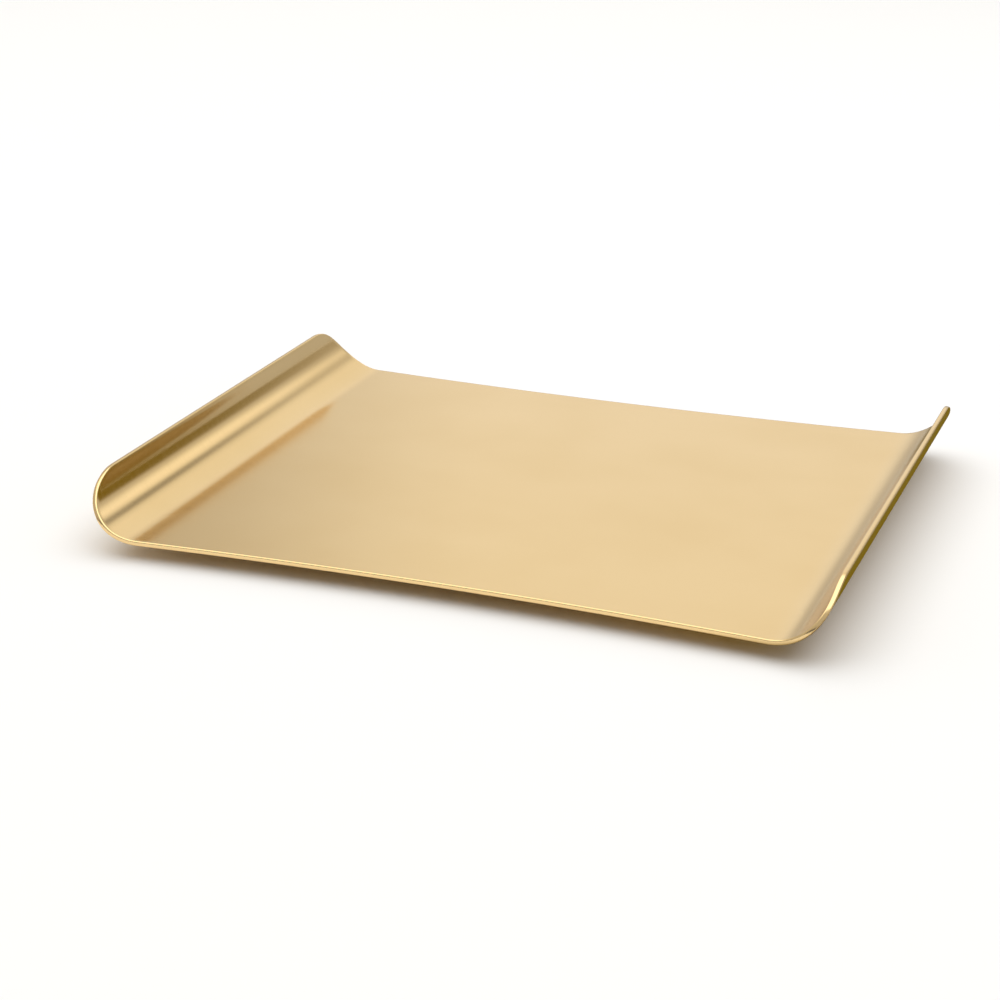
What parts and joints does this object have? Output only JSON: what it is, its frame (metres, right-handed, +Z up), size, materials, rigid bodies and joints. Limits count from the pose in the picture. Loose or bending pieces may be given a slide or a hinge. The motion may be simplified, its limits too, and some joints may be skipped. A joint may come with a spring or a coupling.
{
  "type": "serving tray",
  "caption": "Shallow rectangular brass serving tray formed from one sheet, with both short ends curled up into flared lips, rounded corners and low turned feet hidden under the bed.",
  "frame": {"origin": "on the table, under the middle of the tray", "axes": "+X along the tray from lip to lip, +Y across it, +Z up"},
  "size_m": [0.2966, 0.2332, 0.0298],
  "materials": {
    "satin_brass": "satin brushed along the width, clear lacquered, with polished and rounded edges",
    "turned_brass": "fine turned, unlacquered",
    "black_rubber": "matte"
  },
  "bodies": {
    "root": {"tray_sheet": "satin_brass", "foot_front_left": "turned_brass", "foot_front_right": "turned_brass", "foot_back_left": "turned_brass", "foot_back_right": "turned_brass", "pad_front_left": "black_rubber", "pad_front_right": "black_rubber", "pad_back_left": "black_rubber", "pad_back_right": "black_rubber"}
  },
  "joints": []
}
